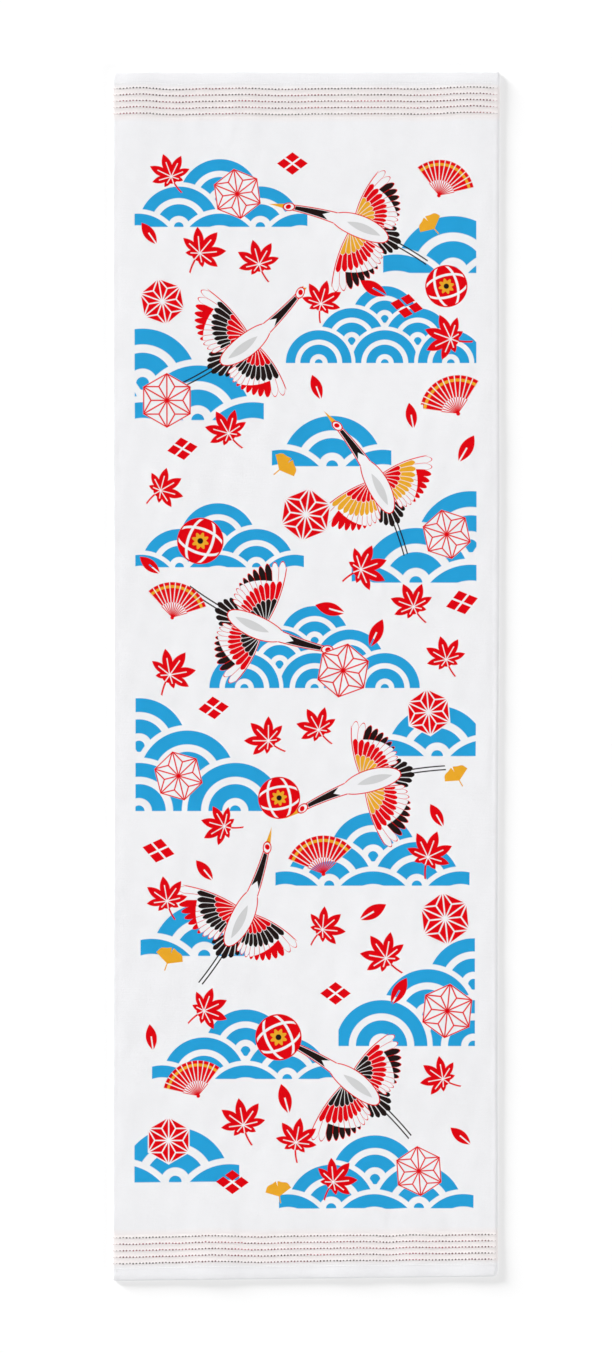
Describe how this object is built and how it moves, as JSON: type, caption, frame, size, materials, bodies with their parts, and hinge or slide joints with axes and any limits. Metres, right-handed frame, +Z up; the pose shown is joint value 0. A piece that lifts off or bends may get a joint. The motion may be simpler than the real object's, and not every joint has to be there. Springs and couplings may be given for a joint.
{
  "type": "sports towel",
  "caption": "Long narrow cotton towel laid flat, with a soft printed field, woven selvedges, and a ribbed border and turned hem at each end, for wiping and drying.",
  "frame": {"origin": "middle of the towel's outline, on the surface that it lies on", "axes": "+Y along the towel towards its far end, +X across it to the right seen from above, +Z up through its printed face"},
  "size_m": [0.3536, 1.102, 0.0044],
  "materials": {
    "towel_cotton": "white printed cotton, gauze weave on the face and looped pile behind, soft and dull",
    "border_yarn": "mottled dark red, black and grey cotton yarn, dull",
    "hem_thread": "white sewing thread, slight sheen"
  },
  "bodies": {
    "root": {"towel_cloth": "towel_cotton"}
  },
  "joints": []
}
